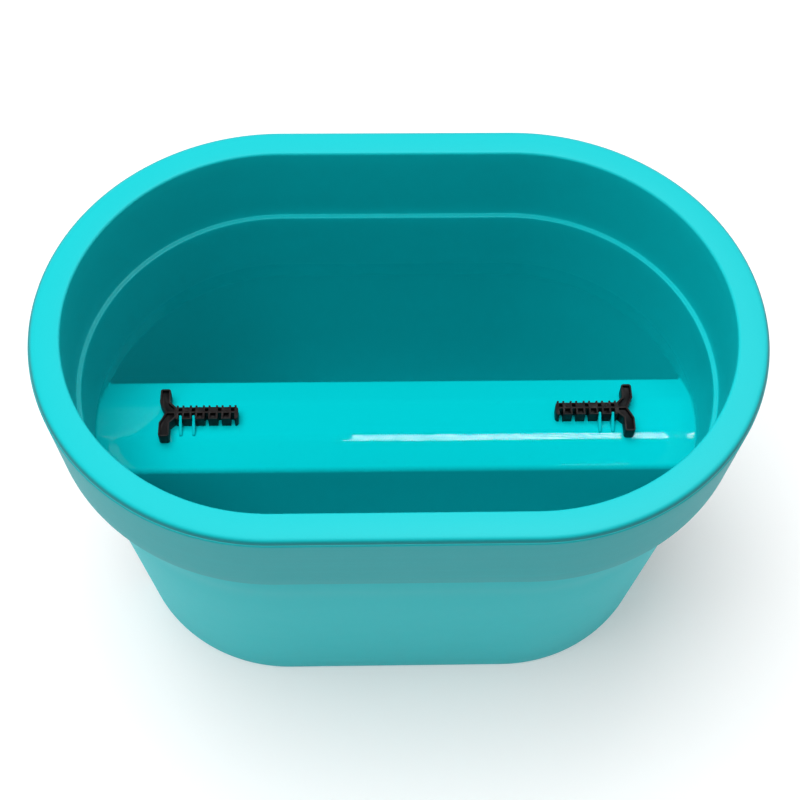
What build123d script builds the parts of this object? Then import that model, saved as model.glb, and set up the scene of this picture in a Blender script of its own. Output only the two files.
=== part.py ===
from build123d import *
import os

# A railing planter: a stadium-shaped tub whose raised tunnel straddles a balcony
# rail, and two toothed clips that are parked on the fins of the tunnel's roof.
# X runs along the tub, -Y is its front, Z is up and the tub stands on Z = 0.

os.makedirs("parts", exist_ok=True)

# ---------------------------------------------------------------- driving sizes
LENGTH = 400.0            # over the rim
WIDTH = 266.0             # over the rim
HEIGHT = 251.0            # base to the top of the rim
WALL = 2.0                # moulded wall everywhere

RIM_FLAT = 17.5           # width of the rim, outer edge to inner wall
RIM_EDGE_R = 3.2          # rounding of the rim's outer edge
BAND_STEP = 0.5           # the band stands proud of that rounding by this much
BAND_FOOT_EDGE_R = 0.6
INNER_EDGE_R = 1.6        # rounding of the rim's inner edge
BAND_HEIGHT = 56.3        # hanging outer band, measured from the rim's top
BAND_LEAN = 3.6           # how far the band leans in at its lower edge
LEDGE_STEP = 3.0          # inner step where the upper wall meets the body
LEDGE_EDGE_R = 0.9
UPPER_LEAN = 0.1          # draft of the upper inner wall
KNEE_Z = 145.0            # the body's wall is nearly upright down to this height
KNEE_LEAN = 0.3           # its draft from the ledge down to there
KNEE_R = 600.0            # gentle bend between the two parts of the wall
BODY_TAPER = 15.5         # how far the wall leans in altogether, ledge to base
BASE_EDGE_R = 4.0

TUNNEL_TOP = 145.4        # height of the tunnel's roof
ROOF_HALF = 12.0          # half width of the flat strip of the roof
BEND_R = 20.0             # soft bend where the roof starts to slope
SHOULDER_HALF = 31.2      # half width at the shoulders
SHOULDER_DROP = 6.0       # how far the roof slopes down to the shoulders
SHOULDER_R = 4.0
FOOT_HALF = 38.5          # half width of the tunnel at the base
ROOF_FILLET = 1.2         # rounding where the tunnel runs into the end walls

FIN_HEIGHT = 7.5          # upright fins that the clips are parked on
FIN_RUN = 10.0            # length of a fin down the roof
FIN_CLEARANCE = 0.2       # each side of a fin, in its notch
SPINE_CLEARANCE = 0.9     # between a fin and the web of the clip

CLIP_HEIGHT = 8.5
CLIP_END_GAP = 38.8       # outer end of a parked clip to the tub's end wall
CLIP_LEFT_Y = 1.0         # the clips are parked slightly unevenly
CLIP_RIGHT_Y = 2.0
NOTCH_COUNT = 5
NOTCH_FIRST = 12.3        # outer end to the middle of the first notch
NOTCH_PITCH = 7.7
NOTCH_WIDTH = 2.2
RIB_THICK = 1.1           # cross rib on each side of a notch
RIB_HALF = 4.6
SHAFT_END = 3.2           # middle of the last notch to the end of the shaft
CORE_HALF = 3.4           # from the web to the shaft's back, between its ribs
CORE_WALL = 0.7           # thin walls round the shaft's pockets
SPINE_HALF = 0.5          # web that runs on through the notches
POCKET_DEPTH = 3.0        # pockets in the shaft's top and bottom
HEAD_HALF = 16.0          # half span of the clip's head
ARM_WIDTH = 6.2
ARM_BEND = 7.0            # where an arm turns in towards the shaft
HEAD_NOTCH = 3.6          # depth of the V in the head's outer side
CHANNEL_DEPTH = 2.2       # recess along the head's arms
LIP = 1.0                 # lip round that recess
ARM_TIP_R = 1.6
MARK_R = 1.3              # round ejector marks beside the end pockets
MARK_LINE = 0.4
MARK_DEPTH = 0.3

# ---------------------------------------------------------------- worked out
RIM_R = WIDTH / 2
STRAIGHT_HALF = LENGTH / 2 - RIM_R
INNER_R = RIM_R - RIM_FLAT
LEDGE_Z = HEIGHT - BAND_HEIGHT
LEDGE_OUTER_R = INNER_R - UPPER_LEAN
LEDGE_INNER_R = LEDGE_OUTER_R - LEDGE_STEP
KNEE_INNER_R = LEDGE_INNER_R - KNEE_LEAN
BASE_RADIUS = LEDGE_INNER_R + WALL - BODY_TAPER
BAND_FOOT_R = RIM_R - BAND_LEAN
BAND_TOP_Z = HEIGHT - RIM_EDGE_R - BAND_STEP / 2
SHOULDER_Z = TUNNEL_TOP - SHOULDER_DROP
INNER_END_X = STRAIGHT_HALF + KNEE_INNER_R
CLIP_OUTER_X = INNER_END_X - CLIP_END_GAP
NOTCH_X = [NOTCH_FIRST + step * NOTCH_PITCH for step in range(NOTCH_COUNT)]
CLIP_LENGTH = NOTCH_X[-1] + SHAFT_END
FIN_X = [CLIP_OUTER_X - notch_x for notch_x in NOTCH_X[:2]]
FIN_THICK = NOTCH_WIDTH - 2 * FIN_CLEARANCE
FIN_BACK_Y = min(CLIP_LEFT_Y, CLIP_RIGHT_Y) - SPINE_HALF - SPINE_CLEARANCE
FIN_TOE_Y = FIN_BACK_Y - FIN_RUN
RIB_OFFSET = (NOTCH_WIDTH + RIB_THICK) / 2
ROOT_X = ARM_WIDTH + HEAD_NOTCH
POCKET_X = [x + NOTCH_PITCH / 2 for x in NOTCH_X[:-1]]
POCKET_LENGTH = NOTCH_PITCH - NOTCH_WIDTH - 2 * RIB_THICK
POCKET_WIDTH = CORE_HALF - CORE_WALL - SPINE_HALF
POCKET_Y = SPINE_HALF + POCKET_WIDTH / 2
FRONT_POCKET_WIDTH = RIB_HALF - CORE_WALL - SPINE_HALF
FRONT_POCKET_Y = SPINE_HALF + FRONT_POCKET_WIDTH / 2


# ---------------------------------------------------------------- tub
def round_corner(sketch, across, height, radius):
    """Fillet the one corner of a section that lies at (across, height)."""
    fillet(sketch.vertices().sort_by_distance((across, height, 0))[0], radius)


def round_the_stadium(section):
    """Take a radial section along both straight sides and round both ends."""
    with BuildPart() as body:
        with BuildSketch(Plane.YZ):
            add(section)
            mirror(about=Plane.YZ)
        extrude(amount=STRAIGHT_HALF, both=True)
        for side in (-1, 1):
            with BuildSketch(Plane.YZ.offset(side * STRAIGHT_HALF)):
                add(section)
            turn_axis = Axis((side * STRAIGHT_HALF, 0, 0), (0, 0, -side))
            revolve(axis=turn_axis, revolution_arc=180)
    return body.part


def tunnel_section(inset, foot_z):
    """Closed section of the tunnel, moved in by a wall thickness."""
    lean = (FOOT_HALF - SHOULDER_HALF) / SHOULDER_Z
    foot_y = FOOT_HALF - inset - lean * foot_z
    shoulder_y = SHOULDER_HALF - inset
    with BuildSketch() as section:
        with BuildLine():
            Polyline(
                (-foot_y, foot_z),
                (-shoulder_y, SHOULDER_Z - inset),
                (-ROOF_HALF, TUNNEL_TOP - inset),
                (ROOF_HALF, TUNNEL_TOP - inset),
                (shoulder_y, SHOULDER_Z - inset),
                (foot_y, foot_z),
                close=True,
            )
        make_face()
        for side in (-1, 1):
            round_corner(section, side * ROOF_HALF, TUNNEL_TOP - inset, BEND_R)
            shoulder_r = SHOULDER_R - inset
            round_corner(section, side * shoulder_y, SHOULDER_Z - inset, shoulder_r)
    return section.sketch


# Radial section: floor, body with its knee, ledge, upper wall, flat rim, hanging band.
with BuildSketch() as shell_section:
    with BuildLine():
        Polyline(
            (0, 0),
            (BASE_RADIUS, 0),
            (KNEE_INNER_R + WALL, KNEE_Z),
            (LEDGE_INNER_R + WALL, LEDGE_Z - WALL),
            (LEDGE_OUTER_R + WALL, LEDGE_Z - WALL),
            (INNER_R + WALL, HEIGHT - WALL),
            (RIM_R - WALL, HEIGHT - WALL),
            (BAND_FOOT_R - WALL, LEDGE_Z),
            (BAND_FOOT_R, LEDGE_Z),
            (RIM_R, BAND_TOP_Z - BAND_STEP),
            (RIM_R - BAND_STEP, BAND_TOP_Z),
            (RIM_R - BAND_STEP, HEIGHT),
            (INNER_R, HEIGHT),
            (LEDGE_OUTER_R, LEDGE_Z),
            (LEDGE_INNER_R, LEDGE_Z),
            (KNEE_INNER_R, KNEE_Z),
            (BASE_RADIUS - WALL, WALL),
            (0, WALL),
            close=True,
        )
    make_face()
    round_corner(shell_section, BASE_RADIUS, 0, BASE_EDGE_R)
    round_corner(shell_section, BASE_RADIUS - WALL, WALL, BASE_EDGE_R - WALL)
    round_corner(shell_section, KNEE_INNER_R + WALL, KNEE_Z, KNEE_R)
    round_corner(shell_section, KNEE_INNER_R, KNEE_Z, KNEE_R)
    round_corner(shell_section, RIM_R - BAND_STEP, HEIGHT, RIM_EDGE_R)
    round_corner(shell_section, BAND_FOOT_R, LEDGE_Z, BAND_FOOT_EDGE_R)
    round_corner(shell_section, RIM_R - WALL, HEIGHT - WALL, RIM_EDGE_R - WALL)
    round_corner(shell_section, INNER_R, HEIGHT, INNER_EDGE_R)
    round_corner(shell_section, LEDGE_INNER_R, LEDGE_Z, LEDGE_EDGE_R)
    round_corner(shell_section, LEDGE_OUTER_R, LEDGE_Z, LEDGE_EDGE_R)

# The body filled in to the middle of its wall, which trims the tunnel's ends.
with BuildSketch() as filled_section:
    with BuildLine():
        Polyline(
            (0, 0),
            (BASE_RADIUS - WALL / 2, 0),
            (KNEE_INNER_R + WALL / 2, KNEE_Z),
            (LEDGE_INNER_R + WALL / 2, LEDGE_Z),
            (0, LEDGE_Z),
            close=True,
        )
    make_face()

with BuildPart() as tunnel:
    with BuildSketch(Plane.YZ):
        add(tunnel_section(0, 0))
    extrude(amount=LENGTH / 2, both=True)
    add(round_the_stadium(filled_section.sketch), mode=Mode.INTERSECT)

with BuildPart() as tub:
    add(round_the_stadium(shell_section.sketch))
    add(tunnel.part)
    ends = [(side * INNER_END_X, 0, TUNNEL_TOP) for side in (-1, 1)]
    fillet([tub.edges().sort_by_distance(end)[0] for end in ends], ROOF_FILLET)
    with BuildSketch(Plane.YZ):
        add(tunnel_section(WALL, -WALL))
    extrude(amount=LENGTH / 2, both=True, mode=Mode.SUBTRACT)
    for fin_x in FIN_X + [-x for x in FIN_X]:
        with BuildSketch(Plane.YZ.offset(fin_x)):
            with BuildLine():
                Polyline(
                    (FIN_BACK_Y, TUNNEL_TOP - WALL / 2),
                    (FIN_TOE_Y, TUNNEL_TOP - WALL / 2),
                    (FIN_TOE_Y, TUNNEL_TOP),
                    (FIN_BACK_Y, TUNNEL_TOP + FIN_HEIGHT),
                    close=True,
                )
            make_face()
        extrude(amount=FIN_THICK / 2, both=True)
tub.part.label = "tub"


# ---------------------------------------------------------------- clips
# Drawn with the head's outer end at X = 0 and the shaft running towards +X.
# The moulding is the same on its top and bottom, so either side can lie up.
HEAD_OUTLINE = [
    (HEAD_NOTCH, 0),
    (0, ARM_BEND),
    (0, HEAD_HALF),
    (ARM_WIDTH, HEAD_HALF),
    (ARM_WIDTH, ARM_BEND),
    (ROOT_X, CORE_HALF),
    (ROOT_X, -CORE_HALF),
    (ARM_WIDTH, -ARM_BEND),
    (ARM_WIDTH, -HEAD_HALF),
    (0, -HEAD_HALF),
    (0, -ARM_BEND),
]


def make_clip(label):
    """One toothed clip: a Y-shaped head, a notched shaft and its recesses."""
    with BuildPart() as clip:
        with BuildSketch() as head:
            with BuildLine():
                Polyline(*HEAD_OUTLINE, close=True)
            make_face()
            fillet(head.vertices().group_by(Axis.Y)[0], ARM_TIP_R)
            fillet(head.vertices().group_by(Axis.Y)[-1], ARM_TIP_R)
        extrude(amount=CLIP_HEIGHT)

        # the shaft: ribs stand out at its back and end flush with its front, and
        # there is one on each side of every notch, which is cut in from the front
        shaft_x = (ROOT_X + CLIP_LENGTH) / 2
        front_y = -(SPINE_HALF + RIB_HALF)
        with BuildSketch() as shaft:
            with Locations((shaft_x, (CORE_HALF - RIB_HALF) / 2)):
                Rectangle(CLIP_LENGTH - ROOT_X, CORE_HALF + RIB_HALF)
            fillet(shaft.vertices().group_by(Axis.X)[-1], ARM_TIP_R)
            for notch_x in NOTCH_X:
                with Locations((notch_x - RIB_OFFSET, 0), (notch_x + RIB_OFFSET, 0)):
                    Rectangle(RIB_THICK, 2 * RIB_HALF)
            with Locations(*[(notch_x, front_y) for notch_x in NOTCH_X]):
                Rectangle(NOTCH_WIDTH, 2 * RIB_HALF, mode=Mode.SUBTRACT)
        extrude(amount=CLIP_HEIGHT)

        # recesses in the top and the bottom, which the web along the middle parts
        for face_plane in (Plane.XY, Plane.XY.offset(CLIP_HEIGHT)):
            inward = 1 if face_plane.origin.Z == 0 else -1
            with BuildSketch(face_plane):
                with BuildLine():
                    Polyline(*HEAD_OUTLINE, close=True)
                make_face()
                offset(amount=-LIP, kind=Kind.INTERSECTION)
                Rectangle(2 * ROOT_X, 2 * SPINE_HALF, mode=Mode.SUBTRACT)
            extrude(amount=inward * CHANNEL_DEPTH, mode=Mode.SUBTRACT)
            with BuildSketch(face_plane):
                with Locations(*[(x, -FRONT_POCKET_Y) for x in POCKET_X]):
                    Rectangle(POCKET_LENGTH, FRONT_POCKET_WIDTH)
                with Locations(*[(x, POCKET_Y) for x in NOTCH_X]):
                    Rectangle(NOTCH_WIDTH, POCKET_WIDTH)
            extrude(amount=inward * POCKET_DEPTH, mode=Mode.SUBTRACT)
            with BuildSketch(face_plane):
                with Locations((POCKET_X[0], POCKET_Y), (POCKET_X[-1], POCKET_Y)):
                    Circle(MARK_R)
                    Circle(MARK_R - MARK_LINE, mode=Mode.SUBTRACT)
            extrude(amount=inward * MARK_DEPTH, mode=Mode.SUBTRACT)
    clip.part.label = label
    return clip.part


parked_left = Location((-CLIP_OUTER_X, CLIP_LEFT_Y, TUNNEL_TOP))
parked_right = Location((CLIP_OUTER_X, CLIP_RIGHT_Y, TUNNEL_TOP))
with BuildPart() as clip_left:
    add(make_clip("clip_left").moved(parked_left))
with BuildPart() as clip_right:
    add(mirror(make_clip("clip_right"), about=Plane.YZ, mode=Mode.PRIVATE).moved(parked_right))

pieces = {"tub": tub.part, "clip_left": clip_left.part, "clip_right": clip_right.part}
for name, piece in pieces.items():
    piece.label = name
    export_step(piece, f"parts/{name}.step")
    size = piece.bounding_box().size
    print(f"{name}: {piece.volume / 1000:.1f} cm3, {size.X:.1f} x {size.Y:.1f} x {size.Z:.1f} mm")
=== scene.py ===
# %% [markdown]
# # A railing planter, dressed for its portrait
# The real object is one turquoise injection moulding with two black toothed clips
# parked on the roof of its tunnel. The plastic is satin on the outside, smoother on
# the inner walls and polished on the tunnel's roof. The solid model already holds
# every size, so this lesson adds surfaces, small moulded detail, light and a
# camera. We start by loading the solid model as our frame and noting its outer
# box, because nothing added later may leave that box.

# %% Load the frame and note the box
import math

import bmesh
import bpy
from mathutils import Matrix, Vector


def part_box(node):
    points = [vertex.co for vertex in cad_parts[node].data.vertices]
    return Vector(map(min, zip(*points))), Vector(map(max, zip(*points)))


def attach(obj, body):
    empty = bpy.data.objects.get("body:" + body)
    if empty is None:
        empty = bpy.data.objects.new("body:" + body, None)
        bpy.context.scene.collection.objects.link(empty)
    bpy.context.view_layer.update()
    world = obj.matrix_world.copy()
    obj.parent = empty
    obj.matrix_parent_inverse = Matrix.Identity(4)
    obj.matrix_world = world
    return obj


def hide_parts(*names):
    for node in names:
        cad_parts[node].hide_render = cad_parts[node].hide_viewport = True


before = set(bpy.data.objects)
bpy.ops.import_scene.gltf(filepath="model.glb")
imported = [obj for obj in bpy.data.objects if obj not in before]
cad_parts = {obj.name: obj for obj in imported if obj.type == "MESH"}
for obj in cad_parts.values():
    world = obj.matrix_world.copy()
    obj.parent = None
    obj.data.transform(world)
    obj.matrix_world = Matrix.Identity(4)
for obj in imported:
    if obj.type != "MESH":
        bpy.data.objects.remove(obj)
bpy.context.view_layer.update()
MM = 0.001


# %% [markdown]
# ## Landmarks
# Shapes and patterns are placed from a few landmarks that the frame gives: the
# rim's height, the end radius and the straight run between the two round ends.
# A stadium outline is then one formula, which the materials use again.

# %% Landmarks of the tub
tub_low, tub_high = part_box("tub")
RIM_TOP = tub_high.z
RIM_RADIUS = tub_high.y
STRAIGHT_HALF = tub_high.x - RIM_RADIUS
ROOF_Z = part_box("clip_left")[0].z
print("rim height", RIM_TOP, "end radius", RIM_RADIUS, "roof height", ROOF_Z)

# %% [markdown]
# ## The tub's radial section
# The tub is one section carried along two straight sides and round two ends. We
# list its corners as (across, height) in millimetres, with a rounding for each,
# make one flat face of them and let a vertex bevel cut the roundings. A spin then
# gives perfectly even ends, which a solid model's own triangles don't.

# %% Sizes of the section
WALL = 2.0
RIM_R = RIM_RADIUS / MM
HEIGHT = RIM_TOP / MM
INNER_R = RIM_R - 17.5
LEDGE_H = HEIGHT - 56.3
LEDGE_OUTER_R = INNER_R - 0.1
LEDGE_INNER_R = LEDGE_OUTER_R - 3.0
KNEE_H = 145.0
KNEE_INNER_R = LEDGE_INNER_R - 0.3
KNEE_BEND_R = 600.0
BASE_R = LEDGE_INNER_R + WALL - 15.5
BAND_FOOT_R = RIM_R - 3.6
BAND_TOP_H = HEIGHT - 3.45

SHELL_CORNERS = [
    # across, height, rounding
    (0.0, 0.0, 0.0),
    (BASE_R, 0.0, 4.0),
    (KNEE_INNER_R + WALL, KNEE_H, KNEE_BEND_R),
    (LEDGE_INNER_R + WALL, LEDGE_H - WALL, 0.4),
    (LEDGE_OUTER_R + WALL, LEDGE_H - WALL, 0.4),
    (INNER_R + WALL, HEIGHT - WALL, 0.8),
    (RIM_R - WALL, HEIGHT - WALL, 1.0),
    (BAND_FOOT_R - WALL, LEDGE_H, 0.4),
    (BAND_FOOT_R, LEDGE_H, 0.6),
    (RIM_R, BAND_TOP_H - 0.5, 0.25),
    (RIM_R - 0.5, BAND_TOP_H, 0.15),
    (RIM_R - 0.5, HEIGHT, 3.2),
    (INNER_R, HEIGHT, 1.6),
    (LEDGE_OUTER_R, LEDGE_H, 0.9),
    (LEDGE_INNER_R, LEDGE_H, 0.9),
    (KNEE_INNER_R, KNEE_H, KNEE_BEND_R),
    (BASE_R - WALL, WALL, 2.0),
    (0.0, WALL, 0.0),
]
FILL_CORNERS = [
    (0.0, 0.0, 0.0),
    (BASE_R - WALL / 2, 0.0, 0.0),
    (KNEE_INNER_R + WALL / 2, KNEE_H, 0.0),
    (LEDGE_INNER_R + WALL / 2, LEDGE_H, 0.0),
    (0.0, LEDGE_H, 0.0),
]
print("shell section has", len(SHELL_CORNERS), "corners, ledge at", round(LEDGE_H, 1), "mm")

# %% [markdown]
# ## Rounding the corners
# No moulded corner is sharp. Each one could be rounded on the finished body with an
# edge bevel, but there the edges run for hundreds of small faces. On the flat
# section a corner is one vertex, so a vertex bevel is cheap and exact. The run
# along each side follows from the rounding wanted and the angle between the sides.


# %% Rounding the corners of a flat face
def rounded_face(shape, corners, to_point, arc_steps=5):
    """A face through (across, height, rounding) corners, with its corners rounded."""
    points = [shape.verts.new(to_point(across, height)) for across, height, _ in corners]
    shape.faces.new(points)
    count = len(corners)
    for index, (point, (_, _, radius)) in enumerate(zip(points, corners)):
        if radius == 0.0:
            continue
        before = to_point(*corners[index - 1][:2])
        here = to_point(*corners[index][:2])
        after = to_point(*corners[(index + 1) % count][:2])
        half_angle = (before - here).angle(after - here) / 2
        run = radius * MM / math.tan(half_angle)
        bmesh.ops.bevel(shape, geom=[point], offset=run, offset_type="OFFSET",
                        segments=arc_steps, profile=0.5, affect="VERTICES",
                        clamp_overlap=False, material=-1)


# %% [markdown]
# ## Carrying the section round the stadium
# On a lathe-turned bowl one spin would do. A stadium needs four moves: a half turn
# round one end, a straight run, a half turn round the other end and a straight run
# back, where the last ring meets the first. Long stretches of the section are
# divided first, so that the later cuts fall on small, even faces.

# %% Half turns and straight runs
TURN_STEPS = 96
STRAIGHT_STEPS = 14
LONGEST_EDGE = 9 * MM


def divide_long(shape, edges):
    """Cut each edge of a list into stretches no longer than the longest wanted."""
    for edge in edges:
        cuts = int(edge.calc_length() / LONGEST_EDGE)
        bmesh.ops.subdivide_edges(shape, edges=[edge], cuts=cuts)


def open_section(corners):
    """The section as a wire that starts and ends on the middle line of the floor."""
    shape = bmesh.new()
    rounded_face(shape, corners, lambda across, height:
                 Vector((STRAIGHT_HALF, -across * MM, height * MM)))
    bmesh.ops.delete(shape, geom=list(shape.faces), context="FACES_ONLY")
    middle = [edge for edge in shape.edges if all(abs(v.co.y) < 1e-7 for v in edge.verts)]
    bmesh.ops.delete(shape, geom=middle, context="EDGES")
    divide_long(shape, [edge for edge in shape.edges if edge.calc_length() > LONGEST_EDGE])
    return shape


def carry_round(shape):
    """Spin and extrude the open section once round the stadium and close it."""
    ring = list(shape.edges)
    for side in (1, -1):
        turned = bmesh.ops.spin(shape, geom=ring, cent=(side * STRAIGHT_HALF, 0, 0),
                                axis=(0, 0, 1), angle=math.pi, steps=TURN_STEPS)
        ring = [item for item in turned["geom_last"] if isinstance(item, bmesh.types.BMEdge)]
        for _ in range(STRAIGHT_STEPS):
            moved = bmesh.ops.extrude_edge_only(shape, edges=ring)["geom"]
            points = [item for item in moved if isinstance(item, bmesh.types.BMVert)]
            step = Vector((-side * 2 * STRAIGHT_HALF / STRAIGHT_STEPS, 0, 0))
            bmesh.ops.translate(shape, verts=points, vec=step)
            ring = [item for item in moved if isinstance(item, bmesh.types.BMEdge)]
    bmesh.ops.remove_doubles(shape, verts=list(shape.verts), dist=1e-5)
    bmesh.ops.recalc_face_normals(shape, faces=list(shape.faces))


# %% From a bmesh to an object
def mesh_object(name, shape):
    """Put a bmesh into an object at the origin, say what it holds, and free it."""
    open_edges = sum(1 for edge in shape.edges if not edge.is_manifold)
    print(name, len(shape.faces), "faces,", open_edges, "open edges")
    mesh = bpy.data.meshes.new(name)
    shape.to_mesh(mesh)
    shape.free()
    piece = bpy.data.objects.new(name, mesh)
    bpy.context.scene.collection.objects.link(piece)
    return piece


def stadium_body(name, corners):
    """A closed body with the given section, all round the stadium."""
    shape = open_section(corners)
    carry_round(shape)
    return mesh_object(name, shape)


# %% [markdown]
# ## The tunnel
# Under the roof runs the balcony rail. The tunnel is an upside-down U along the
# whole tub. One block gives its outside, trimmed by the filled body so that it ends
# inside the wall, and a second, thinner block cuts out the room for the rail.

# %% Tunnel blocks
ROOF_H = ROOF_Z / MM
ROOF_HALF = 12.0
BEND_R = 20.0
SHOULDER_HALF = 31.2
SHOULDER_H = ROOF_H - 6.0
SHOULDER_R = 4.0
FOOT_HALF = 38.5
TUNNEL_STEPS = 40
TUNNEL_REACH = 210.0
BEND_STEPS = 8


def tunnel_block(name, inset, foot_height):
    """The tunnel's section, moved in by inset, run along the whole tub."""
    lean = (FOOT_HALF - SHOULDER_HALF) / SHOULDER_H
    foot = FOOT_HALF - inset - lean * foot_height
    right = [(foot, foot_height, 0.0),
             (SHOULDER_HALF - inset, SHOULDER_H - inset, SHOULDER_R - inset),
             (ROOF_HALF, ROOF_H - inset, BEND_R)]
    left = [(-across, height, radius) for across, height, radius in reversed(right)]
    shape = bmesh.new()
    rounded_face(shape, right + left, lambda across, height:
                 Vector((-TUNNEL_REACH * MM, across * MM, height * MM)), arc_steps=BEND_STEPS)
    divide_long(shape, [edge for edge in shape.edges if edge.calc_length() > LONGEST_EDGE])
    faces = list(shape.faces)
    for step in range(TUNNEL_STEPS):
        moved = bmesh.ops.extrude_face_region(shape, geom=faces)["geom"]
        if faces[0].is_valid and step > 0:
            bmesh.ops.delete(shape, geom=faces, context="FACES_ONLY")
        points = [item for item in moved if isinstance(item, bmesh.types.BMVert)]
        bmesh.ops.translate(shape, verts=points, vec=(2 * TUNNEL_REACH * MM / TUNNEL_STEPS, 0, 0))
        faces = [item for item in moved if isinstance(item, bmesh.types.BMFace)]
    bmesh.ops.recalc_face_normals(shape, faces=list(shape.faces))
    return mesh_object(name, shape)


# %% Joining and cutting closed pieces
def combine(piece, other, operation):
    """Join, trim or cut a piece with another closed piece, which is then removed."""
    step = piece.modifiers.new(operation.lower(), "BOOLEAN")
    step.operation = operation
    step.object = other
    step.solver = "MANIFOLD"
    graph = bpy.context.evaluated_depsgraph_get()
    result = bpy.data.meshes.new_from_object(piece.evaluated_get(graph))
    piece.modifiers.clear()
    piece.data = result
    bpy.data.objects.remove(other)


# %% [markdown]
# ## The fins
# Two thin fins stand on the front slope at each end of the roof, one for each of
# a clip's first two notches. They slope down to a blunt little toe and their top
# edges are softly rounded. Each could be cut out of a plate, but a wedge drawn in
# profile, extruded by its thickness and bevelled is quicker, and it joins the roof
# cleanly because its root is sunk a little way in.

# %% Fins
NOTCH_FIRST = 12.3
NOTCH_PITCH = 7.7
FIN_THICK = 1.8
FIN_HEIGHT = 7.5
FIN_RUN = 10.0
FIN_BACK = -0.4
FIN_ROOT = 1.0
FIN_TOE_HEIGHT = 1.3
FIN_EDGE_R = 0.55
CLIP_OUTER_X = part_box("clip_right")[1].x / MM


def fin(name, middle_x):
    """One wedge-shaped fin, whose root is sunk into the roof."""
    shape = bmesh.new()
    side_x = (middle_x - FIN_THICK / 2) * MM
    outline = [(FIN_BACK, ROOF_H - FIN_ROOT), (FIN_BACK, ROOF_H + FIN_HEIGHT),
               (FIN_BACK - FIN_RUN, ROOF_H + FIN_TOE_HEIGHT),
               (FIN_BACK - FIN_RUN, ROOF_H - FIN_ROOT)]
    points = [shape.verts.new((side_x, y * MM, z * MM)) for y, z in outline]
    flank = shape.faces.new(points)
    moved = bmesh.ops.extrude_face_region(shape, geom=[flank])["geom"]
    points = [item for item in moved if isinstance(item, bmesh.types.BMVert)]
    bmesh.ops.translate(shape, verts=points, vec=(FIN_THICK * MM, 0, 0))
    bmesh.ops.recalc_face_normals(shape, faces=list(shape.faces))
    upper = [edge for edge in shape.edges
             if max(v.co.z for v in edge.verts) > (ROOF_H + 1) * MM]
    bmesh.ops.bevel(shape, geom=upper, offset=FIN_EDGE_R * MM, offset_type="OFFSET", segments=3,
                    profile=0.5, affect="EDGES", clamp_overlap=True, material=-1)
    return mesh_object(name, shape)


# %% [markdown]
# ## A fillet where the tunnel meets the end walls
# Moulded plastic has no sharp inner corners, and this one catches the light. A
# bevel would stumble over the many small faces along the seam, so we lay a thin
# concave strip into the corner: one small section at each point of the tunnel's
# outline, bridged to the next, and joined to the tub.

# %% The inner wall at any height
SEAM_RADIUS = 1.4
SEAM_DEPTH = 0.5
SEAM_ARC_STEPS = 6
SEAM_BITE = 0.03


def inner_wall_radius(height):
    """End radius of the body's inner wall at a height, in millimetres."""
    lower_lean = (KNEE_INNER_R - BASE_R + WALL) / (KNEE_H - WALL)
    upper_lean = (LEDGE_INNER_R - KNEE_INNER_R) / (LEDGE_H - KNEE_H)
    lean = upper_lean if height > KNEE_H else lower_lean
    bend_run = KNEE_BEND_R * (lower_lean - upper_lean) / 2
    within = max(bend_run - abs(height - KNEE_H), 0.0)
    return KNEE_INNER_R + lean * (height - KNEE_H) - within ** 2 / (2 * KNEE_BEND_R)


print("inner wall radius at the roof:", round(inner_wall_radius(ROOF_H), 2), "mm")


# %% Outline of the tunnel
def tunnel_outline():
    """Points (across, height) of the tunnel's outline, from foot to foot."""
    shape = bmesh.new()
    right = [(FOOT_HALF, 0.0, 0.0), (SHOULDER_HALF, SHOULDER_H, SHOULDER_R),
             (ROOF_HALF, ROOF_H, BEND_R)]
    left = [(-across, height, radius) for across, height, radius in reversed(right)]
    rounded_face(shape, right + left, lambda across, height:
                 Vector((0, across * MM, height * MM)), arc_steps=BEND_STEPS)
    divide_long(shape, [edge for edge in shape.edges if edge.calc_length() > LONGEST_EDGE
                        and max(v.co.z for v in edge.verts) > 0])
    ring = [v.co / MM for v in list(shape.faces)[0].verts]
    shape.free()
    start = max(range(len(ring)), key=lambda index: (ring[index].z < 1e-3, ring[index].y))
    ring = ring[start:] + ring[:start]
    if ring[1].z < 1e-3:
        ring = [ring[0]] + ring[:0:-1]
    return [(point.y, point.z) for point in ring]


print("tunnel outline has", len(tunnel_outline()), "points")


# %% One section of the fillet
def seam_section(outline, index, side):
    """Ring of points of the fillet's section at one point of the outline."""
    across, height = outline[index]
    before = outline[max(index - 1, 0)]
    after = outline[min(index + 1, len(outline) - 1)]
    tangent = Vector((0, after[0] - before[0], after[1] - before[1])).normalized()
    from_tunnel = Vector((0, tangent.z, -tangent.y))
    if from_tunnel.dot(Vector((0, across, 20.0))) < 0:
        from_tunnel.negate()
    radius = inner_wall_radius(height)
    beyond = math.sqrt(radius ** 2 - across ** 2)
    corner = Vector((side * (STRAIGHT_HALF / MM + beyond), across, height))
    lean = (inner_wall_radius(height + 2) - inner_wall_radius(height - 2)) / 4
    from_wall = Vector((-side * beyond, -across, lean * radius)).normalized()
    toward = from_tunnel + from_wall
    centre = corner + toward * SEAM_RADIUS / (1 + from_tunnel.dot(from_wall))
    ring = [corner - toward * SEAM_DEPTH]
    for step in range(SEAM_ARC_STEPS + 1):
        share = step / SEAM_ARC_STEPS
        direction = -from_tunnel.slerp(from_wall, share)
        bite = SEAM_BITE if share in (0, 1) else 0
        ring.append(centre + direction * (SEAM_RADIUS + bite))
    return [point * MM for point in ring]


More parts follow.
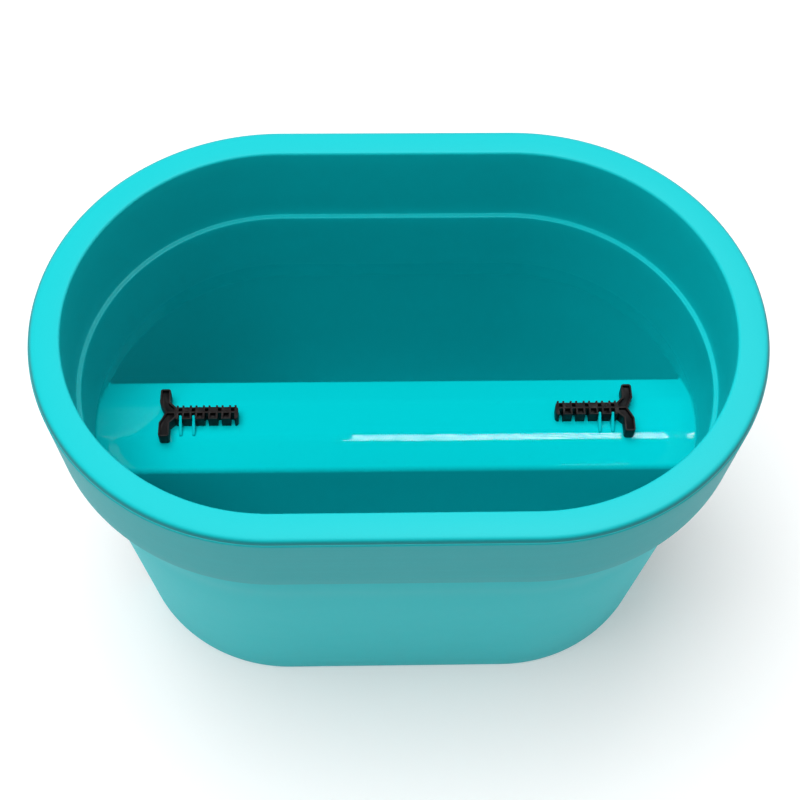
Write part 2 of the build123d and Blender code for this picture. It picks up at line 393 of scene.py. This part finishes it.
# %% The fillet strip
def seam_fillet(name, side):
    """A concave strip along the corner between the tunnel and one end wall."""
    outline = [point for point in tunnel_outline() if point[1] > WALL - 1.5]
    shape = bmesh.new()
    last_edges = None
    for index in range(len(outline)):
        points = [shape.verts.new(point) for point in seam_section(outline, index, side)]
        edges = [shape.edges.new((points[i - 1], points[i])) for i in range(len(points))]
        if last_edges:
            bmesh.ops.bridge_loops(shape, edges=last_edges + edges)
        if index in (0, len(outline) - 1):
            shape.faces.new(points)
        last_edges = edges
    bmesh.ops.recalc_face_normals(shape, faces=list(shape.faces))
    return mesh_object(name, shape)


# %% [markdown]
# ## Putting the tub together
# The real tub leaves the mould in one piece. We could keep shell, tunnel and fins
# as separate meshes that only touch, but light would leak along their seams. So the
# closed bodies are joined and cut with the Boolean modifier's manifold solver, which
# keeps every result closed. The order matters: the room for the rail is cut last
# but one, so that it opens the end walls too, and the fins are added on top.


# %% Put the tub together
def make_tub():
    """Shell, tunnel, fillets, rail room and fins, joined into one closed moulding."""
    tunnel = tunnel_block("tunnel", 0.0, 0.0)
    combine(tunnel, stadium_body("filled_body", FILL_CORNERS), "INTERSECT")
    tub = stadium_body("planter_tub", SHELL_CORNERS)
    combine(tub, tunnel, "UNION")
    for side in (-1, 1):
        combine(tub, seam_fillet("seam_fillet", side), "UNION")
    combine(tub, tunnel_block("rail_room", WALL, -WALL), "DIFFERENCE")
    for side in (-1, 1):
        for notch in (0, 1):
            middle_x = side * (CLIP_OUTER_X - NOTCH_FIRST - notch * NOTCH_PITCH)
            combine(tub, fin("fin", middle_x), "UNION")
    return tub


# %% Shading and body of the tub, in place of the hidden solid tub
TUB_CREASE_DEGREES = 32


def smooth_by_angle(piece, degrees):
    """Shade smooth, with the edges sharper than an angle kept crisp."""
    piece.data.shade_smooth()
    piece.data.set_sharp_from_angle(angle=math.radians(degrees))


planter_tub = make_tub()
smooth_by_angle(planter_tub, TUB_CREASE_DEGREES)
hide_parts("tub")
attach(planter_tub, "tub")
print("tub triangles:", sum(len(face.vertices) - 2 for face in planter_tub.data.polygons))

# %% [markdown]
# ## The clips
# The real clips are small black mouldings with ribs, notches and pockets, which the
# solid model already has, but with razor-sharp edges, as no moulding has. They could
# be modelled again, but it is surer to copy each one, merge its loose triangles into
# whole faces, and let a Bevel modifier round every edge by a quarter of a millimetre.

# %% Clips with softened edges
CLIP_EDGE_R = 0.25
CLIP_CREASE_DEGREES = 35


def softened_clip(node_name, piece_name):
    """A copy of a solid clip with merged faces and rounded edges."""
    shape = bmesh.new()
    shape.from_mesh(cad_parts[node_name].data)
    bmesh.ops.remove_doubles(shape, verts=list(shape.verts), dist=1e-6)
    bmesh.ops.dissolve_limit(shape, angle_limit=math.radians(1.0), verts=list(shape.verts),
                             edges=list(shape.edges))
    piece = mesh_object(piece_name, shape)
    bevel = piece.modifiers.new("edge_rounding", "BEVEL")
    bevel.width = CLIP_EDGE_R * MM
    bevel.segments = 2
    bevel.limit_method = "ANGLE"
    bevel.angle_limit = math.radians(30)
    bevel.harden_normals = True
    graph = bpy.context.evaluated_depsgraph_get()
    finished = bpy.data.meshes.new_from_object(piece.evaluated_get(graph))
    piece.modifiers.clear()
    piece.data = finished
    smooth_by_angle(piece, CLIP_CREASE_DEGREES)
    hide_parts(node_name)
    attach(piece, node_name)
    print(piece_name, "has", len(finished.polygons), "faces")
    return piece


toothed_clips = [softened_clip("clip_left", "toothed_clip_left"),
                 softened_clip("clip_right", "toothed_clip_right")]

# %% [markdown]
# ## Node helpers
# The two plastics differ only in colour, gloss and grain. They could be painted as
# images, but a procedural material, which is a chain of small nodes, stays sharp at
# any distance and follows the tub's own shape. These helpers keep the chains short
# enough to read: they make a node, a math step, a soft-edged zone or a colour mix.


# %% Node helpers
def add_node(tree, kind, **inputs):
    """Make a node, and set or link its named inputs."""
    node = tree.nodes.new(kind)
    for key, value in inputs.items():
        socket = node.inputs[key]
        if isinstance(value, bpy.types.NodeSocket):
            tree.links.new(value, socket)
        else:
            socket.default_value = value
    return node


def math_step(tree, operation, first, second=0.0, clamp=False):
    """One Math node, whose operands are numbers or sockets."""
    node = tree.nodes.new("ShaderNodeMath")
    node.operation = operation
    node.use_clamp = clamp
    for socket, value in zip(node.inputs, (first, second)):
        if isinstance(value, bpy.types.NodeSocket):
            tree.links.new(value, socket)
        else:
            socket.default_value = value
    return node.outputs[0]


def smooth_band(tree, value, low, high):
    """0 below low, 1 above high, and a smooth ramp between."""
    node = tree.nodes.new("ShaderNodeMapRange")
    node.interpolation_type = "SMOOTHSTEP"
    tree.links.new(value, node.inputs["Value"])
    node.inputs["From Min"].default_value = low
    node.inputs["From Max"].default_value = high
    return node.outputs["Result"]


# %% Where a point lies on the tub
def place(tree):
    """Object coordinates, and their x, y and z."""
    coords = tree.nodes.new("ShaderNodeTexCoord").outputs["Object"]
    split = add_node(tree, "ShaderNodeSeparateXYZ", Vector=coords)
    return coords, split.outputs["X"], split.outputs["Y"], split.outputs["Z"]


def stadium_distance(tree, x, y):
    """Distance from the line between the two end centres: the stadium's radius."""
    beyond = math_step(tree, "SUBTRACT", math_step(tree, "ABSOLUTE", x), STRAIGHT_HALF)
    along = math_step(tree, "MAXIMUM", beyond, 0.0)
    squares = math_step(tree, "ADD", math_step(tree, "MULTIPLY", along, along),
                        math_step(tree, "MULTIPLY", y, y))
    return math_step(tree, "SQRT", squares)


# %% Colour mixes and new materials
def mix_colour(tree, factor, first, second):
    """A colour between two others, which are constants or sockets."""
    node = tree.nodes.new("ShaderNodeMix")
    node.data_type = "RGBA"
    tree.links.new(factor, node.inputs["Factor"])
    for name, colour in (("A", first), ("B", second)):
        socket = next(s for s in node.inputs if s.name == name and s.type == "RGBA")
        if isinstance(colour, bpy.types.NodeSocket):
            tree.links.new(colour, socket)
        else:
            socket.default_value = colour
    return next(s for s in node.outputs if s.type == "RGBA")


def new_material(name):
    """An empty node material with its shader and output joined."""
    material = bpy.data.materials.new(name)
    material.use_nodes = True
    tree = material.node_tree
    tree.nodes.clear()
    shader = tree.nodes.new("ShaderNodeBsdfPrincipled")
    output = tree.nodes.new("ShaderNodeOutputMaterial")
    tree.links.new(shader.outputs["BSDF"], output.inputs["Surface"])
    return material, tree, shader


# %% [markdown]
# ## Turquoise plastic
# The tub is one plastic with three surfaces, as the mould's steel was finished in
# three ways: satin with a fine grain on the rim and outside, smoother on the inner
# walls, and polished on the tunnel's roof, where the lamps show as a crisp line.
# The zones could be separate materials on separate faces, but they meet on soft
# lines that don't follow edges, so one material finds them from the stadium
# distance and the height. First comes the test for the outer side of the wall.


# %% Which side of the wall
def outer_side(tree, radius, z):
    """1 on the rim and the outside, 0 on the inside: which side of the wall's middle."""
    slope = (KNEE_INNER_R + WALL - BASE_R) / KNEE_H
    lower = math_step(tree, "ADD", math_step(tree, "MULTIPLY", z, slope),
                      (BASE_R - WALL / 2) * MM)
    body = math_step(tree, "MINIMUM", lower, (LEDGE_INNER_R + WALL / 2) * MM)
    above = smooth_band(tree, z, (LEDGE_H - 1.9) * MM, (LEDGE_H - 1.1) * MM)
    raised = math_step(tree, "MULTIPLY", above, (INNER_R - LEDGE_INNER_R - WALL / 2 + 0.3) * MM)
    depth = math_step(tree, "SUBTRACT", radius, math_step(tree, "ADD", body, raised))
    return smooth_band(tree, depth, -0.3 * MM, 0.6 * MM)


def below(tree, value, low, high):
    """1 below low, 0 above high, and a smooth ramp between."""
    return math_step(tree, "SUBTRACT", 1.0, smooth_band(tree, value, low, high))


# %% Roughness: satin, smooth and polished
WALL_ROUGHNESS = 0.45
OUTSIDE_EXTRA = 0.10
ROOF_POLISH = 0.435
ROOF_LOW = (0.137, 0.139)
ROOF_HIGH = (0.155, 0.160)
ROOF_RADIUS = (0.1113, 0.1115)


def tub_roughness(tree, outside, radius, z):
    """Satin outside, smoother inside, and polished within the roof's outline."""
    roof = math_step(tree, "MULTIPLY", smooth_band(tree, z, *ROOF_LOW),
                     below(tree, z, *ROOF_HIGH))
    polished = math_step(tree, "MULTIPLY", roof, below(tree, radius, *ROOF_RADIUS))
    roughness = math_step(tree, "ADD", math_step(tree, "MULTIPLY", outside, OUTSIDE_EXTRA),
                          WALL_ROUGHNESS)
    shine = math_step(tree, "MULTIPLY", polished, ROOF_POLISH)
    return math_step(tree, "SUBTRACT", roughness, shine)


# %% [markdown]
# ## Colour of the band, and a painted shade on the rim's edge
# The hanging band is a little deeper in colour than the rest, faintly streaked along its length
# where the plastic flowed into the mould. Just above the mould's parting step, a painted shade
# darkens the rim's rounded outer edge and stands in for the shadow in that corner. Geometry could
# hold that shade, but it is a change of tone more than of shape. A noise pattern that is
# stretched flat gives the streaks, and two narrow zones of height give the band and the painted
# shade.

# %% Colours, streaks and painted shade
TURQUOISE = (0.0006, 0.53, 0.57, 1.0)
DEEP_TURQUOISE = (0.0006, 0.37, 0.40, 1.0)
# Colour of the painted shade on the rim's rounded outer edge
RIM_EDGE_SHADE_TURQUOISE = (0.0004, 0.22, 0.24, 1.0)
STREAK_SCALE = (5, 5, 420)
STREAK_DEPTH = 0.35
STREAK_BASE = 0.82


def tub_colour(tree, coords, radius, z):
    """Turquoise, with the deeper streaked band and a painted shade on the rim's rounded outer
    edge.
    """
    outer = smooth_band(tree, radius, (RIM_R - 5.0) * MM, (RIM_R - 4.6) * MM)
    under_top = below(tree, z, (BAND_TOP_H - 0.1) * MM, (BAND_TOP_H + 0.1) * MM)
    on_band = math_step(tree, "MULTIPLY", outer, under_top)
    streak_place = add_node(tree, "ShaderNodeMapping", Vector=coords, Scale=STREAK_SCALE)
    streaks = add_node(tree, "ShaderNodeTexNoise", Vector=streak_place.outputs["Vector"],
                       Scale=1.0, Detail=3.0)
    streak_share = math_step(tree, "ADD", math_step(
        tree, "MULTIPLY", streaks.outputs["Fac"], STREAK_DEPTH), STREAK_BASE)
    banded = math_step(tree, "MULTIPLY", on_band, streak_share, clamp=True)
    colour = mix_colour(tree, banded, TURQUOISE, DEEP_TURQUOISE)
    # Painted shade: the rim's rounded outer edge is darkened just above the parting step,
    # standing in for the shadow in that corner.
    line = math_step(
        tree, "MULTIPLY",
        smooth_band(tree, z, (BAND_TOP_H + 0.5) * MM, (BAND_TOP_H + 0.9) * MM),
        below(tree, z, (BAND_TOP_H + 2.0) * MM, (BAND_TOP_H + 3.6) * MM))
    rim_edge_shade = math_step(tree, "MULTIPLY", line, outer)
    return mix_colour(tree, rim_edge_shade, colour, RIM_EDGE_SHADE_TURQUOISE)


# %% [markdown]
# ## Grain and ripple
# The satin skin comes from a fine spark-eroded grain in the mould, and wide moulded
# faces are never quite flat, which makes their reflections waver. Both are far too
# small for geometry, so two bumps carry them: a fine noise on the outside only, and
# a slow, shallow ripple everywhere.


# %% Grain, ripple and the finished plastic
def grain_and_ripple(tree, coords, outside):
    """Fine grain outside and a slow ripple everywhere, as a surface direction."""
    grain = add_node(tree, "ShaderNodeTexNoise", Vector=coords, Scale=1400.0, Detail=2.0)
    ripple = add_node(tree, "ShaderNodeTexNoise", Vector=coords, Scale=55.0, Detail=1.0)
    grain_height = math_step(tree, "MULTIPLY", grain.outputs["Fac"], outside)
    grain_bump = add_node(tree, "ShaderNodeBump", Strength=0.15, Distance=0.0004,
                          Height=grain_height)
    ripple_bump = add_node(tree, "ShaderNodeBump", Strength=0.2, Distance=0.001,
                           Height=ripple.outputs["Fac"], Normal=grain_bump.outputs["Normal"])
    return ripple_bump.outputs["Normal"]


def turquoise_plastic():
    """Polished roof, smooth inner walls, satin rim and outside, deeper coloured band."""
    material, tree, shader = new_material("turquoise_plastic")
    coords, x, y, z = place(tree)
    radius = stadium_distance(tree, x, y)
    outside = outer_side(tree, radius, z)
    tree.links.new(tub_roughness(tree, outside, radius, z), shader.inputs["Roughness"])
    tree.links.new(tub_colour(tree, coords, radius, z), shader.inputs["Base Color"])
    tree.links.new(grain_and_ripple(tree, coords, outside), shader.inputs["Normal"])
    shader.inputs["IOR"].default_value = 1.49
    shader.inputs["Specular IOR Level"].default_value = 0.38
    print(material.name, "has", len(tree.nodes), "nodes")
    return material


# %% [markdown]
# ## Black plastic
# The clips are warm black, and a painted sheen makes their upper faces a touch paler than the
# faces lower down and in the pockets. Plain black would lose every rib. Two blacks mixed by
# height keep them readable, and a fine bump breaks up the gloss.

# %% Black plastic of the clips
CLIP_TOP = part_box("clip_left")[1].z
# The paler black is painted sheen for the upper faces, and the darker one is the clips' own
# black.
SHEEN_BLACK = (0.017, 0.012, 0.012, 1.0)
CLIP_BLACK = (0.005, 0.004, 0.0045, 1.0)


def black_plastic():
    """Warm black, with a painted sheen that makes the uppermost faces a little paler."""
    material, tree, shader = new_material("black_clip_plastic")
    coords, _, _, z = place(tree)
    # Painted sheen: the uppermost half millimetre of each clip is mixed towards the paler black.
    sheen_zone = smooth_band(tree, z, CLIP_TOP - 0.6 * MM, CLIP_TOP - 0.1 * MM)
    colour = mix_colour(tree, sheen_zone, CLIP_BLACK, SHEEN_BLACK)
    tree.links.new(colour, shader.inputs["Base Color"])
    shader.inputs["Roughness"].default_value = 0.5
    shader.inputs["Specular IOR Level"].default_value = 0.2
    grain = add_node(tree, "ShaderNodeTexNoise", Vector=coords, Scale=900.0, Detail=3.0)
    bump = add_node(tree, "ShaderNodeBump", Strength=0.15, Distance=0.0003,
                    Height=grain.outputs["Fac"])
    tree.links.new(bump.outputs["Normal"], shader.inputs["Normal"])
    print(material.name, "has", len(tree.nodes), "nodes")
    return material


# %% Give each piece its plastic
turquoise = turquoise_plastic()
black = black_plastic()
planter_tub.data.materials.clear()
planter_tub.data.materials.append(turquoise)
for toothed_clip in toothed_clips:
    toothed_clip.data.materials.clear()
    toothed_clip.data.materials.append(black)
print("materials:", turquoise.name, "and", black.name)

# %% [markdown]
# ## Floor
# A product picture stands the object on a pale sweep that fades to white. A sweep could be curved
# up behind it, but a wide flat floor works from every side. A faint glow of its own keeps it pale
# without more light on the tub, and only the soft contact shadow is left. It is not attached to
# the tub, so it isn't part of the object.

# %% Floor
FLOOR_HALF = 6.0


def make_floor():
    """A wide pale floor, which isn't part of the object."""
    shape = bmesh.new()
    bmesh.ops.create_grid(shape, x_segments=1, y_segments=1, size=FLOOR_HALF)
    floor = mesh_object("floor", shape)
    material, _, shader = new_material("pale_floor")
    shader.inputs["Base Color"].default_value = (0.74, 0.74, 0.74, 1.0)
    shader.inputs["Emission Color"].default_value = (1.0, 1.0, 1.0, 1.0)
    shader.inputs["Emission Strength"].default_value = 0.3
    shader.inputs["Roughness"].default_value = 0.8
    floor.data.materials.append(material)


make_floor()

# %% [markdown]
# ## Camera
# The tub is seen from the front and well above, so that both the rim and the roof
# of the tunnel show. The camera could be placed by eye, but it is clearer as three
# angles, a distance and a small sideways aim, all measured from the middle of the
# rim. A long lens keeps the ends of the tub from bulging.

# %% Camera
CAMERA_AZIMUTH = math.radians(-2.88)
CAMERA_ELEVATION = math.radians(58.95)
CAMERA_ROLL = math.radians(2.0)
CAMERA_DISTANCE = 6.4847 * RIM_RADIUS
CAMERA_LENS = 72.0
AIM_RIGHT = 0.0098 * RIM_RADIUS
AIM_UP = -0.3236 * RIM_RADIUS


def make_camera():
    """A camera on a circle round the middle of the rim, looking down into the tub."""
    back = Vector((math.sin(CAMERA_AZIMUTH) * math.cos(CAMERA_ELEVATION),
                   -math.cos(CAMERA_AZIMUTH) * math.cos(CAMERA_ELEVATION),
                   math.sin(CAMERA_ELEVATION)))
    right = Vector((math.cos(CAMERA_AZIMUTH), math.sin(CAMERA_AZIMUTH), 0.0))
    up = back.cross(right)
    rim_middle = Vector((0, 0, RIM_TOP))
    place_at = rim_middle + right * AIM_RIGHT + up * AIM_UP + back * CAMERA_DISTANCE
    turned_right = right * math.cos(CAMERA_ROLL) + up * math.sin(CAMERA_ROLL)
    turned_up = up * math.cos(CAMERA_ROLL) - right * math.sin(CAMERA_ROLL)
    data = bpy.data.cameras.new("camera")
    data.lens = CAMERA_LENS
    data.sensor_width = 36.0
    camera = bpy.data.objects.new("camera", data)
    axes = Matrix((turned_right, turned_up, back)).transposed()
    camera.matrix_world = Matrix.Translation(place_at) @ axes.to_4x4()
    bpy.context.scene.collection.objects.link(camera)
    bpy.context.scene.camera = camera
    print("camera stands at", [round(value, 3) for value in place_at])


make_camera()


# %% [markdown]
# ## Light
# A large softbox overhead gives even light and soft shadows. It is hidden from
# reflections, since it would wash out the polished roof. What the roof does mirror
# is a row of slim lamps, which lie side by side high over its right half and draw a
# bright line along it. One plain strip could do that, but several slim ones give
# the line its fine grooves, as a real light bank does.


# %% Lamps
def area_light(name, place_at, aim_at, width, height, power):
    """A soft rectangular light that faces a point."""
    data = bpy.data.lights.new(name, "AREA")
    data.shape = "RECTANGLE"
    data.size = width
    data.size_y = height
    data.energy = power
    light = bpy.data.objects.new(name, data)
    direction = Vector(aim_at) - Vector(place_at)
    light.location = place_at
    light.rotation_euler = direction.to_track_quat("-Z", "Y").to_euler()
    bpy.context.scene.collection.objects.link(light)
    return light


# %% Softbox and slim lamps
KEY_HEIGHT = 3.5
KEY_WIDTH = 3.2
KEY_DEPTH = 2.4
KEY_POWER = 158
key = area_light("softbox", (-0.15 * KEY_HEIGHT, 0.03 * KEY_HEIGHT, KEY_HEIGHT),
                 (0, 0, 0.2), KEY_WIDTH, KEY_DEPTH, KEY_POWER)
key.visible_glossy = False

TUBE_HEIGHT = 1.5
TUBE_WIDTH = 0.035
TUBES = [
    # degrees behind the zenith, middle x, length, power
    (15.8, 0.34, 0.76, 2.9),
    (11.2, 0.34, 0.76, 2.9),
    (6.6, 0.34, 0.76, 2.9),
    (2.0, 0.34, 0.76, 2.9),
    (-22.0, 0.42, 0.25, 0.5),
]
for index, (degrees, middle_x, length, power) in enumerate(TUBES):
    back_by = math.tan(math.radians(degrees)) * TUBE_HEIGHT
    tube = area_light(f"light_tube_{index}", (middle_x, back_by, ROOF_Z + TUBE_HEIGHT),
                      (middle_x, back_by, 0), length, TUBE_WIDTH, power)
    tube.visible_diffuse = False
print("lights: one softbox and", len(TUBES), "slim lamps")

# %% [markdown]
# ## The room around
# White studio walls fill the shadows from the sides. An even white sky would also
# whiten every polished face that looks up, so the sky here is bright only near the
# horizon, dark overhead, and dimmer at the front, where the camera stands.

# %% Studio walls as a sky
DARK_FROM = (0.2, 0.75)
FRONT_ZONE = (0.0, 0.95)
FRONT_DIMMING = 0.75


def studio_world():
    """Bright near the horizon and dark overhead, so glossy walls stay deep in colour."""
    world = bpy.data.worlds.new("studio_world")
    world.use_nodes = True
    tree = world.node_tree
    background = tree.nodes["Background"]
    direction = tree.nodes.new("ShaderNodeTexCoord").outputs["Generated"]
    split = add_node(tree, "ShaderNodeSeparateXYZ", Vector=direction)
    low = below(tree, split.outputs["Z"], *DARK_FROM)
    front = smooth_band(tree, math_step(tree, "MULTIPLY", split.outputs["Y"], -1.0), *FRONT_ZONE)
    turn = math_step(tree, "SUBTRACT", 1.0, math_step(tree, "MULTIPLY", front, FRONT_DIMMING))
    strength = math_step(tree, "MULTIPLY", low, turn)
    tree.links.new(strength, background.inputs["Strength"])
    background.inputs["Color"].default_value = (1, 1, 1, 1)
    bpy.context.scene.world = world


studio_world()
bpy.context.scene.view_settings.view_transform = "Standard"
print("world:", bpy.context.scene.world.name)
